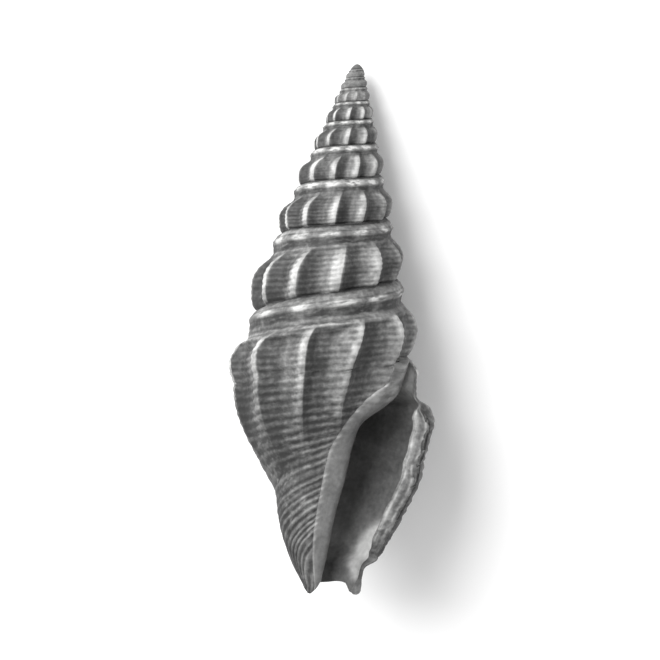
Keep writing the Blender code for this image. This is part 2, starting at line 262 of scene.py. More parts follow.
# %%
RIB_MARKS = (
    (-9.5, 95.0), (-6.775, 66.0), (-6.68, 65.0), (-5.842, 56.0), (-5.63, 54.0), (-4.95, 46.0),
    (-4.648, 43.0), (-4.03, 36.0), (-3.893, 35.0), (-3.625, 32.0), (-3.505, 31.0), (-2.912, 25.0), (-2.652, 22.0),
    (-2.572, 21.0), (-2.49, 20.0), (-2.02, 15.0), (-1.945, 14.0), (-1.86, 13.0), (-1.669, 11.0), (-1.588, 10.0), (-0.905, 3.0), (-0.797, 2.0),
    (-0.714, 1.0), (-0.614, 0.0), (-0.03, -6.0), (0.2, -8.0),
)
RIB_BOW = 0.012
RIB_STARTS = ((-9.5, 0.28), (-2.0, 0.29), (-1.3, 0.31), (-0.8, 0.375), (-0.6, 0.45), (-0.3, 0.45), (0.2, 0.40))
THREADS_PER_WHORL = 13.0
THREAD_MARKS = (
    (0.0, 0.0), (4.1, 8.0), (6.3, 12.0), (13.1, 22.0), (14.4, 24.0), (15.8, 26.0), (16.9, 28.0),
    (17.6, 29.0), (18.3, 30.0), (19.1, 31.0), (19.6, 32.0), (20.15, 33.0), (20.65, 34.0), (22.3, 36.0),
    (28.0, 38.0),
)
THREAD_DIVE = (
    (20.0, 0.0), (31.0, 0.0), (34.5, 1.2), (36.0, 3.2), (38.0, 4.7), (40.0, 6.2), (41.5, 9.0), (43.0, 15.0),
    (46.0, 18.0),
)


def rib_number(turn, level):
    """Counts ribs back from the one on the front of the last whorl. Rib tops lean back."""
    top, bottom = seam_level(turn), seam_level(turn + 1.0)
    across = (level - top) / (bottom - top)
    below_top = np.maximum(across - through(RIB_STARTS, turn), 0.0)
    lean = RIB_BOW * (1.0 + np.cos(2.0 * math.pi * (turn + 0.55))) * (1.0 - 0.55 * ease((turn + 1.2) / 0.3))
    bow = lean * (np.exp(-below_top / 0.25) - 0.2)
    hook = 0.024 * bell((turn + 0.63) / 0.08) * np.exp(-below_top / 0.05)
    hook += 0.024 * bell((turn + 0.80) / 0.04) * np.exp(-below_top / 0.35)
    foot = 0.025 * ease((level - 28.5) / 3.5) * ease((-0.74 - turn) / 0.06)
    marks, numbers = np.array(RIB_MARKS).T
    return np.interp(turn + bow + hook + foot, marks, numbers)


def rib_reach(turn, level):
    """How deep the hollows between the ribs may be cut, in millimetres at full depth."""
    top, bottom = seam_level(turn), seam_level(turn + 1.0)
    across = (level - top) / (bottom - top)
    start = through(RIB_STARTS, turn) + 0.04 * np.sin(math.pi * rib_number(turn, level)) ** 2
    flank = 0.04 + 0.06 * bell((across - 0.08) / 0.06) + 0.96 * ease((across - start + 0.03) / 0.14)
    fading = 1.0 - ease((level - bottom - 0.2) / (0.30 * bottom))
    size = ease((turn + 7.4) / 1.6) * (1.0 - 0.6 * ease((turn + 0.06) / 0.06))
    return smooth_radius(turn, level) * size * np.where(across <= 1.0, flank, fading)


def thread_number(turn, level):
    """Counts threads down from the upper seam. On the neck they dive ever more steeply."""
    top, bottom = seam_level(turn), seam_level(turn + 1.0)
    on_spire = THREADS_PER_WHORL * np.clip((level - top) / (bottom - top), 0.0, 1.0)
    dive = through(THREAD_DIVE, level) * 0.3 * np.tanh((turn + 0.75) / 0.3)
    places, numbers = np.array(THREAD_MARKS).T
    on_last = np.interp(level - top - dive, places, numbers)
    share = ease((turn + 1.5) / 0.5)
    return on_spire * (1.0 - share) + on_last * share


def thread_reach(turn, level):
    """Threads are strong below the shoulder, weak in the hollow ramp, and rubbed away on the spire."""
    top, bottom = seam_level(turn), seam_level(turn + 1.0)
    across = (level - top) / (bottom - top)
    flank = 0.55 + 0.45 * ease((across - 0.30) / 0.08)
    at_seams = ease(across / 0.04) * np.where(across <= 1.0, ease((1.0 - across) / 0.03), 1.0)
    held = np.where(turn < -1.0 + LIP_TURN, at_seams, ease(across / 0.04))
    grown = 0.15 + 0.85 * ease((turn + 4.5) / 3.0)
    neck = 1.0 + 0.5 * ease((level - 25.5) / 2.5) * (1.0 - ease((level - 40.5) / 2.0))
    count = thread_number(turn, level)
    paired = ease((count - 21.0) / 1.0) * (1.0 - ease((count - 28.0) / 1.0)) * (turn > -1.0 + LIP_TURN)
    alternate = 1.0 - 0.6 * paired * np.sin(0.5 * math.pi * count) ** 2
    return flank * held * grown * neck * alternate * np.minimum(1.0, level / 12.0)


def shaded_right_side(turn):
    """1 on the spire's right side, away from the lamp, where painted shade goes, and 0 on the rest."""
    return ease((np.cos(2.0 * math.pi * turn) - 0.6) / 0.3) * (1.0 - ease((turn + 1.05) / 0.1))


def rib_wear_and_highlight(turn, level):
    """How pale a rib crest is painted, as rubbed stone and painted highlight: below the shoulder, and on the knobs of
    the spire, less on the spire's shaded right side.
    """
    top, bottom = seam_level(turn), seam_level(turn + 1.0)
    across = (level - top) / (bottom - top)
    share = rib_reach(turn, level) / smooth_radius(turn, level)
    last = 1.0 - 0.55 * ease((across - 0.62) / 0.5) - 0.4 * ease((across - 0.95) / 0.2) * bell((turn + 0.6) / 0.05)
    knob = bell((across - 0.66) / 0.3)
    spire = 1.0 - ease((turn + 1.2) / 0.25)
    return np.clip(share, 0.0, 1.0) * (last + (knob - last) * spire) * (1.0 - 0.7 * shaded_right_side(turn))


# %% [markdown]
# ## Heights of the carving
#
# These are the sizes that give the shell its look: how deep the hollows between the ribs are,
# as a share of the radius, and how high threads, growth lines and layers stand, in millimetres.

# %%
CARVING_INPUTS = {
    "Rib Height": 0.125,
    "Rib Front": 0.13,
    "Rib Back": 0.23,
    "Spire Rib Spread": 0.08,
    "Thread Height": 0.06,
    "Growth Line Height": 0.015,
    "Wear": 0.09,
    "Chips": 0.45,
    "Layer Height": 0.07,
}


# %% [markdown]
# ## Callus, lip and canal
#
# The snail glazed the shell beside its mouth with a smooth skin, the callus. Its edge runs in
# an S from the top of the mouth to the canal. The outer lip is a broken, layered edge, thin at
# the top and thickest beside the widest part of the mouth.

# %%
LIP_THICKNESS = 1.60
WALL_THICKNESS = 0.50
INNER_FILL = 1.7
CALLUS_THICKNESS = 0.20
CALLUS_SLOPE = 0.36
COLUMN_EDGE = (
    (27.0, 6.6), (28.5, 5.2), (29.5, 4.05), (30.5, 3.42), (32.2, 3.0), (35.2, 2.66), (37.7, 2.24),
    (40.3, 1.87), (42.0, 1.47), (42.8, 1.24), (43.9, 0.88), (45.0, 0.6),
)


def callus_turn(level):
    """Where the callus ends on the front of the last whorl."""
    degrees = 17.0 + 50.0 * np.exp(-(np.clip((level - 24.6) / 4.5, 0.0, 25.0)) ** 1.5)
    return -0.75 - (degrees + 10.0 * (1.0 - ease((level - 24.3) / 0.9))) / 360.0


def column_edge(level):
    """How far right of the axis the callus turns its corner into the mouth."""
    return through(COLUMN_EDGE, level)


def callus_radius(turn, level):
    """The callus lies on the whorl at the top, and lower down it is a flat band with a corner."""
    angle = 2.0 * math.pi * (-0.75 - turn)
    start = 2.0 * math.pi * (-0.75 - callus_turn(level))
    rest = base_radius(callus_turn(level), level)
    face = rest * (np.cos(start) + CALLUS_SLOPE * np.sin(start)) / (np.cos(angle) + CALLUS_SLOPE * np.sin(angle))
    corner = column_edge(level) / np.maximum(np.sin(angle), 0.05)
    band = (face ** -16.0 + corner ** -16.0) ** (-1.0 / 16.0)
    flat = ease((level - 28.2) / 2.4)
    return base_radius(turn, level) * (1.0 - flat) + band * flat


def lip_width(level):
    """How thick the outer lip's edge is: thin at the top, thick beside the mouth."""
    broad = 0.15 + (LIP_THICKNESS - 0.15) * ease((level - 28.15) / 1.25) - 0.30 * ease((level - 37.0) / 2.5)
    broad -= 0.45 * ease((level - 39.5) / 1.3) + 0.50 * ease((level - 41.6) / 0.9) - 0.45 * ease((level - 43.1) / 1.3)
    return broad * (1.0 - 0.85 * rim_round(LIP_TURN, level))


# %% [markdown]
# ## A mesh that grows
#
# The mesh is one closed skin. It is collected in lists: points with the numbers that belong to
# them, and faces that join rows of points. Where two rows have unlike counts, `zip_up` closes
# the gap with triangles.


# %%
class Skin:
    """Points with their numbers, and faces, that grow into one closed mesh."""

    NUMBERS = (
        "rib_number", "rib_reach", "thread_number", "thread_reach", "show", "shine", "broad", "tone",
        "rough", "glaze", "lip", "lip_marks",
    )

    def __init__(self):
        self.points = []
        self.directions = []
        self.numbers = {name: [] for name in self.NUMBERS}
        self.faces = []
        self.count = 0

    def add(self, points, directions, **numbers):
        """Adds an array of points and returns their places in the mesh, in the same layout."""
        shape = points.shape[:-1]
        amount = int(np.prod(shape))
        self.points.append(points.reshape(-1, 3))
        self.directions.append(np.broadcast_to(directions, points.shape).reshape(-1, 3))
        for name in self.NUMBERS:
            values = np.broadcast_to(numbers.get(name, 0.0), shape)
            self.numbers[name].append(values.reshape(-1).astype(float))
        places = np.arange(self.count, self.count + amount).reshape(shape)
        self.count += amount
        return places

    def between(self, first, second):
        """Quads between two rows of points of the same count."""
        quads = np.stack((first[:-1], first[1:], second[1:], second[:-1]), axis=-1)
        self.faces.extend(quads.tolist())

    def zip_up(self, first, second):
        """Triangles between two rows of points of unlike counts."""
        spots = np.concatenate(self.points)
        places = []
        for row in (first, second):
            run = np.cumsum(np.linalg.norm(np.diff(spots[row], axis=0), axis=1))
            places.append(np.concatenate(([0.0], run / run[-1])))
        i, j = 0, 0
        while i < len(first) - 1 or j < len(second) - 1:
            first_next = places[0][i + 1] if i < len(first) - 1 else 2.0
            second_next = places[1][j + 1] if j < len(second) - 1 else 2.0
            if first_next <= second_next:
                self.faces.append([first[i], first[i + 1], second[j]])
                i += 1
            else:
                self.faces.append([first[i], second[j + 1], second[j]])
                j += 1


# %% [markdown]
# ## Winding the outside
#
# The sheet is a grid: one column every few degrees of growth, and forty rows between the two
# seams, four to each thread. The last row of a whorl is the first row of the next one, so the
# spire has no gap. The underside goes on below the last turn, and its rows begin at the edge
# of the callus.

# %%
COLUMNS = 132
WHORL_ROWS = 46
BASE_ROWS = 140
skin = Skin()


def relief(turn, level):
    """Fine relief in millimetres: a double cord under each seam, a groove above it, a shoulder line."""
    top, bottom = seam_level(turn), seam_level(turn + 1.0)
    across = (level - top) / (bottom - top)
    size = np.minimum(1.0, level / 15.0)
    cords = 0.07 * bell((across - 0.04) / 0.018) + 0.10 * bell((across - 0.13) / 0.024)
    beads = 1.0 + 0.3 * np.sin(rib_number(turn, level) * 2.0 * math.pi * 2.0)
    shoulder = 0.06 * bell((across - through(RIB_STARTS, turn)) / 0.014)
    groove = -0.18 * bell((across - 0.99) / 0.025) * (turn < LIP_TURN - 1.0)
    return size * np.where(across <= 1.0, cords * beads + shoulder + groove, 0.0)


def tone(turn, level):
    """Tone painted on the outside: pale cords and shoulder line as painted highlights, painted shade in the ramp,
    between the cords, in the seam, on the underside and on the lip's outer face, and a paler tip.
    """
    top, bottom = seam_level(turn), seam_level(turn + 1.0)
    across = (level - top) / (bottom - top)
    beads = 0.5 - 0.5 * np.cos(rib_number(turn, level) * 2.0 * math.pi)
    grown = ease((level - 10.0) / 5.0)
    # Cords, their beads and the shoulder line are painted pale as highlights.
    cords = 0.10 * grown * bell((across - 0.045) / 0.022)
    cords = cords + (0.05 + 0.36 * beads) * bell((across - 0.095 - 0.03 * grown) / (0.065 - 0.017 * grown))
    cords = cords * ease((level - 0.5) / 5.0) + 0.05 * (1.0 - ease((level - 2.5) / 2.5))
    shoulder = 0.10 * bell((across - through(RIB_STARTS, turn)) / 0.016)
    # Painted shade in the hollow ramp and in the groove between the cords, and a painted shadow in the seam.
    ramp = -(0.09 + 0.14 * (1.0 - beads)) * bell((across - 0.24) / 0.07) - 0.16 * grown * bell((across - 0.085) / 0.015)
    seam = -0.25 * (bell((across - 0.985) / 0.025) + bell(across / 0.015)) * (turn < LIP_TURN - 1.0)
    # Painted shade on the underside, darkest low on the left flank, which turns away from the lamp.
    painted_shade_low_left = ease((turn + 0.68) / 0.06) * (1.0 - ease((turn + 0.35) / 0.1))
    under = -0.04 * ease((level - 27.0) / 1.5) - 0.09 * ease((level - 29.5) / 2.5) * painted_shade_low_left
    # Painted shade on the outer face of the lip.
    broken = -0.20 * bell((turn - 0.022) / 0.008) * ease((level - 27.0) / 1.5)
    # A paler tip, and painted shade on the spire's right side.
    pale_tip_and_shaded_side = 0.03 * (1.0 - ease((level - 8.0) / 6.0)) - 0.05 * shaded_right_side(turn)
    return np.where(across <= 1.0, cords + shoulder + ramp + seam + pale_tip_and_shaded_side, under) + broken


def roughness(turn, level):
    """The broken edge of the lip is rougher than the rest."""
    return ease((turn + 0.012) / 0.03) * ease((level - 27.0) / 1.5) * (1.0 - ease((level - 41.0) / 1.5))


def outside_points(turn, level):
    """Adds points of the outside, with all their numbers."""
    return skin.add(
        wound(turn, level, smooth_radius(turn, level) + relief(turn, level)),
        outward(turn),
        tone=tone(turn, level),
        rib_number=rib_number(turn, level),
        rib_reach=rib_reach(turn, level),
        show=np.clip(rib_reach(turn, level) / smooth_radius(turn, level), 0.0, 1.0),
        shine=rib_wear_and_highlight(turn, level),
        broad=1.0 - ease((turn + 1.2) / 0.25),
        thread_number=thread_number(turn, level),
        thread_reach=thread_reach(turn, level) * (1.0 - 0.5 * roughness(turn, level)),
        rough=roughness(turn, level),
    )


turns = LIP_TURN - np.arange(round(SPIRE_TURNS * COLUMNS), -1, -1) / COLUMNS
whorl_steps = np.arange(WHORL_ROWS) / WHORL_ROWS
turn_grid, step_grid = np.meshgrid(turns, whorl_steps, indexing="ij")
whorls = outside_points(turn_grid, sheet_level(turn_grid, step_grid))

last_turn = turns[-COLUMNS:]
top_line = outside_points(last_turn, sheet_level(last_turn, np.ones(COLUMNS)))
below = np.concatenate((whorls[COLUMNS:, 0], top_line))
whorls = np.column_stack((whorls, below))
for older, newer in zip(whorls[:-1], whorls[1:]):
    skin.between(newer, older)

base_rows = [np.concatenate((whorls[-1:, 0], top_line))]
shares = np.linspace(0.0, 1.0, COLUMNS + 1)
for step in range(1, BASE_ROWS + 1):
    across = 1.0 + step / BASE_ROWS
    start = -0.85
    for _ in range(40):
        start = float(callus_turn(sheet_level(start, across)))
    row_turns = start + (LIP_TURN - start) * shares
    row = outside_points(row_turns, sheet_level(row_turns, np.full(COLUMNS + 1, across)))
    skin.between(base_rows[-1], row)
    base_rows.append(row)
base_rows = np.array(base_rows)
print("points outside:", skin.count)

# %% [markdown]
# ## The first whorl
#
# The tip of a real shell is a smooth round cap. The open end of the sheet is drawn together in
# a few rings to one point.

# %%
edge = np.concatenate((whorls[: COLUMNS + 1, 0], whorls[0, -2:0:-1]))
edge_points = np.concatenate(skin.points)[edge]
rings = [edge]
for share in (0.8, 0.55, 0.28):
    ring_points = edge_points * (share, 0.02 + 0.9 * share ** 2, share)
    rings.append(skin.add(ring_points, np.array((0.0, 1.0, 0.0))))
for outer_ring, inner_ring in zip(rings[:-1], rings[1:]):
    skin.between(np.append(inner_ring, inner_ring[0]), np.append(outer_ring, outer_ring[0]))
tip = skin.add(own_tip[None, :], np.array((0.0, 1.0, 0.0)))[0]
last_ring = np.append(rings[-1], rings[-1][0])
skin.faces.extend([int(a), int(tip), int(b)] for a, b in zip(last_ring[:-1], last_ring[1:]))

# %% [markdown]
# ## The mouth
#
# Each row of the mouth is one path that starts on the edge of the outer lip, crosses the lip,
# runs back inside the last whorl, turns, and comes out along the inner wall and over the
# callus. Two shallow ridges and a groove on the lip are the layers of the broken edge.

# %%
LIP_STEPS = 14
WALL_STEPS = 20
# How far in from the lip's inner edge, in millimetres, the painted pool of light inside the mouth reaches, at each
# level.
GLOW_WIDTH = (
    (37.0, 0.0), (38.2, 0.25), (38.9, 0.5), (39.5, 0.75), (40.1, 1.0), (40.8, 1.15), (41.4, 1.2), (42.0, 1.15),
    (42.6, 0.95), (43.2, 0.6), (44.0, 0.3), (45.0, 0.2),
)
CALLUS_STEPS = (0.0, 0.04, 0.08, 0.13, 0.19, 0.26, 0.34, 0.43, 0.52, 0.61, 0.70, 0.78, 0.85, 0.91, 0.955, 0.985, 0.997)
lip_places = np.concatenate((whorls[-1, :-1], base_rows[:, -1]))
lip_across = np.concatenate((whorl_steps, 1.0 + np.arange(BASE_ROWS + 1) / BASE_ROWS))
lip_turns = np.full(lip_across.shape, LIP_TURN)
lip_levels = sheet_level(lip_turns, lip_across)
down = (lip_levels - lip_levels[0]) / (lip_levels[-1] - lip_levels[0])
at_end = down ** 10
rim = smooth_radius(lip_turns, lip_levels)
width = lip_width(lip_levels)

across_lip = np.arange(1, LIP_STEPS + 1) / LIP_STEPS
# dark_share is the outer share of the lip width, where its outer face is painted in shade.
dark_share = (0.12 + 0.08 * ease((lip_levels - 31.5) / 2.0) + 0.22 * bell((lip_levels - 33.6) / 0.9))[:, None]
layer = np.maximum((across_lip - dark_share) / (1.0 - dark_share), 0.01)
lip_edge = skin.add(
    wound(
        LIP_TURN + np.zeros((len(lip_levels), LIP_STEPS)),
        lip_levels[:, None] + 0.0 * across_lip,
        rim[:, None] - width[:, None] * across_lip,
    ),
    outward(np.array(LIP_TURN + 0.25)),
    rib_number=0.6 * across_lip + 0.0 * lip_levels[:, None],
    thread_number=lip_levels[:, None] + 0.0 * across_lip,
    lip=layer + 0.0 * lip_levels[:, None],
    lip_marks=(ease((lip_levels - 28.1) / 0.8) * (1.0 - ease((lip_levels - 39.0) / 1.8)))[:, None],
    tone=-0.10 * ease((lip_levels - 39.4) / 1.4)[:, None] * (1.0 - ease((lip_levels - 43.0) / 0.6))[:, None],
    rough=roughness(lip_turns, lip_levels)[:, None],
)

back = np.arange(1, WALL_STEPS + 1) / WALL_STEPS
reach = (22.0 + 98.0 * ease((lip_levels - 26.6) / 2.2) - 40.0 * ease((down - 0.45) / 0.5))[:, None] / 360.0
wall_turns = LIP_TURN - reach * back
rise = (seam_level(LIP_TURN) - seam_level(wall_turns)) * (1.0 - down[:, None])
deep = lip_levels[:, None] - rise + (canal_end(wall_turns) - lip_levels[-1]) * at_end[:, None]
near_deep = lip_levels[:, None] - rise + (canal_end(wall_turns - 1.0) - lip_levels[-1]) * at_end[:, None]
hollow_floor = smooth_radius(wall_turns, deep) - CARVING_INPUTS["Rib Height"] * rib_reach(wall_turns, deep)
bowl = INNER_FILL * ease(back * 2.2) * (1.0 - 0.75 * ease((down - 0.6) / 0.4))[:, None]
inside = hollow_floor - WALL_THICKNESS - bowl
far = inside + (rim[:, None] - width[:, None] - inside) * (1.0 - ease(back * 5.0))
far += 0.22 * rim_round(wall_turns, deep)
core = callus_radius(LIP_TURN - 1.0, near_deep)
near = core + (base_radius(wall_turns - 1.0, near_deep) * 0.9 - core) * ease(back)
wall_points = wound(wall_turns, deep, far)
from_edge = wound(LIP_TURN, lip_levels, rim - width)[:, None, 0] - wall_points[:, :, 0]
# Painted light inside the mouth: a painted pool of light along the inner side of the lip low down, painted shade deeper
# in towards the canal and next to the lip, and the top and the deep wall painted lighter against their shadow.
painted_glow = 1.0 - ease((from_edge - through(GLOW_WIDTH, lip_levels[:, None])) / 0.8 + 0.5)
painted_glow *= ease((lip_levels[:, None] - 37.6) / 1.6) * (1.0 - ease((lip_levels[:, None] - 43.2) / 0.7))
painted_glow *= 1.0 - 0.35 * ease((lip_levels[:, None] - 41.2) / 1.2)
painted_deep_shade = ease((from_edge - through(GLOW_WIDTH, lip_levels[:, None])) / 0.7) * ease((lip_levels[:, None] - 40.6) / 1.2)
painted_deep_shade *= 1.0 + ease((lip_levels[:, None] - 42.3) / 0.8)
painted_light_inside = -0.05 + 0.08 * ease((back - 0.15) / 0.6) + 0.27 * painted_glow - 0.06 * painted_deep_shade
painted_light_inside += 0.15 * (1.0 - ease((lip_levels[:, None] - 27.6) / 3.2))
outer_wall = skin.add(wall_points, -outward(wall_turns), glaze=1.0, tone=painted_light_inside)
inner_wall = skin.add(
    wound(wall_turns, near_deep, np.minimum(near, far - 0.12)), outward(wall_turns), glaze=1.0, tone=painted_light_inside
)

over = np.array(CALLUS_STEPS)
callus_edge = callus_turn(lip_levels)[:, None]
callus_turns = LIP_TURN - 1.0 + (callus_edge - LIP_TURN + 1.0) * over
pad = 0.35 * bell((lip_levels[:, None] - 27.6) / 1.0) * ease(1.0 - 1.6 * over)
rounded = np.sqrt(1.0 - over ** 4)
raised = callus_radius(callus_turns, lip_levels[:, None]) + CALLUS_THICKNESS * rounded + pad
drape = ease((over - 0.35) / 0.6)
callus = skin.add(
    wound(callus_turns, lip_levels[:, None] + (canal_end(callus_turns) - lip_levels[-1]) * at_end[:, None], raised),
    outward(callus_turns),
    rib_number=rib_number(callus_turns, lip_levels[:, None]),
    rib_reach=rib_reach(callus_turns, lip_levels[:, None]) * drape,
    thread_number=thread_number(callus_turns, lip_levels[:, None]),
    thread_reach=thread_reach(callus_turns, lip_levels[:, None]) * 0.5 * ease((over - 0.85) / 0.15),
    # Paler near the top, with a thin painted highlight along the edge of the callus.
    tone=0.12 * (1.0 - ease((lip_levels[:, None] - 27.0) / 3.0)) + 0.08 * bell((over - 0.97) / 0.04),
    glaze=0.6,
)

paths = np.column_stack((lip_places, lip_edge, outer_wall, inner_wall[:, ::-1], callus))
for upper, lower in zip(paths[:-1], paths[1:]):
    skin.between(upper, lower)
roof = paths[0]
half = len(roof) // 2
skin.faces.extend(np.stack((roof[:half], roof[::-1][:half], roof[::-1][1:half + 1], roof[1:half + 1]), axis=-1).tolist())
skin.zip_up(base_rows[:, 0], paths[:, -1])
skin.zip_up(base_rows[-1], paths[-1][::-1])
print("points in all:", skin.count)

# %% [markdown]
# ## One closed mesh
#
# The lists become a Blender mesh. The numbers are stored as attributes, where Geometry Nodes
# and the material can both read them.

# %%
clean_faces = []
for face in skin.faces:
    corners = list(dict.fromkeys(face))
    if len(corners) > 2:
        clean_faces.append(corners)
mesh = bpy.data.meshes.new("fossil_shell")
mesh.from_pydata(placed(np.concatenate(skin.points)), [], clean_faces)
mesh.validate()
for name, values in skin.numbers.items():
    mesh.attributes.new(name, "FLOAT", "POINT").data.foreach_set("value", np.concatenate(values))
directions = np.concatenate(skin.directions) @ turned.T
mesh.attributes.new("direction", "FLOAT_VECTOR", "POINT").data.foreach_set("vector", directions.ravel())
mesh.polygons.foreach_set("use_smooth", np.ones(len(mesh.polygons), bool))
shell = bpy.data.objects.new("fossil_shell", mesh)
bpy.context.scene.collection.objects.link(shell)
print("faces:", len(mesh.polygons))

# %% [markdown]
# ## Worn stone and painted light
#
# The surface is matt grey stone, and light and shade are painted into its colour. Rib crests are
# pale, partly rubbed stone and partly painted highlight; the flanks facing the lamp are painted
# lit, the hollows behind the ribs, the thread grooves and the lip's outer face are painted in
# shade, and threads and lip ridges carry painted highlights. A fine grain covers everything but
# the smooth glaze of the callus. The nodes read the attributes, so the colour follows the carving
# exactly.


# %%
def node(tree, kind, inputs=(), **settings):
    """Adds a node, sets it up, and links or sets its inputs."""
    made = tree.nodes.new(kind)
    for name, value in settings.items():
        setattr(made, name, value)
    for socket, value in dict(inputs).items():
        if isinstance(value, bpy.types.NodeSocket):
            tree.links.new(value, made.inputs[socket])
        else:
            made.inputs[socket].default_value = value
    return made


def attribute(tree, name):
    """The value of a stored attribute, in a material."""
    return node(tree, "ShaderNodeAttribute", attribute_name=name).outputs["Fac"]


def math_node(tree, operation, a, b=0.0, clamp=False):
    """One step of arithmetic."""
    return node(tree, "ShaderNodeMath", {0: a, 1: b}, operation=operation, use_clamp=clamp).outputs[0]


def ramp_node(tree, value, low, high):
    """A smooth rise from 0 at low to 1 at high, also where low is the larger."""
    made = node(
        tree,
        "ShaderNodeMapRange",
        {"Value": value, "From Min": min(low, high), "From Max": max(low, high)},
        interpolation_type="SMOOTHSTEP",
    ).outputs["Result"]
    return made if low < high else math_node(tree, "SUBTRACT", 1.0, made)


def product(tree, *values):
    """All the values multiplied."""
    total = values[0]
    for value in values[1:]:
        total = math_node(tree, "MULTIPLY", total, value)
    return total


DARK_STONE = (0.015, 0.015, 0.015, 1.0)
PALE_STONE = (0.80, 0.80, 0.79, 1.0)


def bell_node(tree, value, middle, width):
    """1 at the middle, falling smoothly to nothing on both sides."""
    steps = math_node(tree, "DIVIDE", math_node(tree, "SUBTRACT", value, middle), width)
    return math_node(tree, "EXPONENT", product(tree, steps, steps, -1.0))


def stone_material(name, base, mottle, grain):
    """Grey stone, mottled and grained this strongly, with painted light: pale crests, lit flanks and painted shade in
    the hollows.
    """
    material = bpy.data.materials.new(name)
    material.use_nodes = True
    tree = material.node_tree
    shader = tree.nodes["Principled BSDF"]
    place = node(tree, "ShaderNodeTexCoord").outputs["Object"]
    patches = node(tree, "ShaderNodeTexNoise", {"Vector": place, "Scale": 260.0, "Detail": 5.0}).outputs["Fac"]
    specks = node(tree, "ShaderNodeTexNoise", {"Vector": place, "Scale": 900.0, "Detail": 3.0}).outputs["Fac"]
    fine = node(tree, "ShaderNodeTexNoise", {"Vector": place, "Scale": 2600.0, "Detail": 4.0}).outputs["Fac"]
    ribs = attribute(tree, "rib_number")
    winding = attribute(tree, "thread_number")
    along = node(
        tree,
        "ShaderNodeCombineXYZ",
        {"X": math_node(tree, "MULTIPLY", ribs, 12.0), "Y": math_node(tree, "MULTIPLY", winding, 0.5)},
    ).outputs["Vector"]
    streaks = node(tree, "ShaderNodeTexNoise", {"Vector": along, "Scale": 1.0, "Detail": 3.0}).outputs["Fac"]
    wound = node(
        tree,
        "ShaderNodeCombineXYZ",
        {"X": math_node(tree, "MULTIPLY", ribs, 3.0), "Y": math_node(tree, "MULTIPLY", winding, 1.5)},
    ).outputs["Vector"]
    dashes = node(tree, "ShaderNodeTexNoise", {"Vector": wound, "Scale": 1.0, "Detail": 2.0}).outputs["Fac"]
    show = attribute(tree, "show")
    broad = attribute(tree, "broad")
    past = math_node(tree, "SUBTRACT", ribs, math_node(tree, "ROUND", ribs))
    beyond = math_node(tree, "FRACT", ribs)
    # Crests are painted pale, partly as rubbed stone and partly as painted highlight, and the flank rising to each
    # crest, on the side facing the lamp, is painted lit.
    rise = ramp_node(tree, past, -0.32, -0.05)
    narrow = product(tree, ramp_node(tree, past, -0.17, -0.04), ramp_node(tree, past, 0.06, 0.02))
    wide = product(tree, ramp_node(tree, past, -0.34, -0.09), ramp_node(tree, past, 0.12, 0.02))
    crest = math_node(tree, "ADD", narrow, product(tree, broad, math_node(tree, "SUBTRACT", wide, narrow)))
    crest = product(tree, crest, attribute(tree, "shine"), math_node(tree, "ADD", specks, 0.5))
    # Painted shade in the hollow just behind each rib, on the side away from the lamp.
    painted_shade_behind_rib = product(tree, ramp_node(tree, beyond, 0.02, 0.07), ramp_node(tree, beyond, 0.62, 0.38), show)
    painted_lit_flank = product(tree, rise, show, ramp_node(tree, past, 0.06, 0.02))
    # Threads are painted pale as highlights and their grooves dark as shade, more on the lit flank than in the hollows.
    wobble = math_node(tree, "MULTIPLY", math_node(tree, "SUBTRACT", specks, 0.5), 0.35)
    angle = math_node(tree, "MULTIPLY", math_node(tree, "ADD", winding, wobble), 2.0 * math.pi)
    swing = math_node(tree, "COSINE", angle)
    in_hollow = product(tree, show, math_node(tree, "SUBTRACT", 1.0, painted_lit_flank), 0.5)
    held = product(
        tree,
        attribute(tree, "thread_reach"),
        math_node(tree, "SUBTRACT", 1.0, in_hollow),
        ramp_node(tree, dashes, 0.28, 0.60),
        math_node(tree, "SUBTRACT", 1.0, product(tree, narrow, show, 0.6)),
    )
    # On the lip, painted highlights on its two ridges, and painted shade in the groove between them and on its outer
    # edge.
    edge = math_node(tree, "ADD", attribute(tree, "lip"), math_node(tree, "MULTIPLY", wobble, 0.6))
    on_lip = product(tree, attribute(tree, "lip_marks"), ramp_node(tree, attribute(tree, "glaze"), 0.3, 0.0))
    parts = (
        (product(tree, crest, math_node(tree, "ADD", product(tree, broad, 0.3), 1.0)), 0.25),
        (painted_lit_flank, 0.10),
        (painted_shade_behind_rib, -0.17),
        (product(tree, swing, held), 0.13),
        (product(tree, bell_node(tree, edge, 0.80, 0.14), on_lip, ramp_node(tree, streaks, 0.1, 0.6)), 0.25),
        (product(tree, bell_node(tree, edge, 0.20, 0.08), on_lip, ramp_node(tree, dashes, 0.3, 0.6)), 0.22),
        (product(tree, bell_node(tree, edge, 0.42, 0.10), on_lip), -0.07),
        (product(tree, ramp_node(tree, edge, 0.16, 0.34), on_lip, bell_node(tree, winding, 31.6, 1.6)), 0.10),
        (product(tree, ramp_node(tree, edge, 0.08, 0.0), on_lip), -0.12),
        (product(tree, attribute(tree, "tone"), ramp_node(tree, dashes, 0.2, 0.7)), 2.0),
        (patches, 0.45 * mottle),
        (specks, 0.35 * mottle),
        (fine, 0.40 * mottle),
        (streaks, 0.12 * mottle),
    )
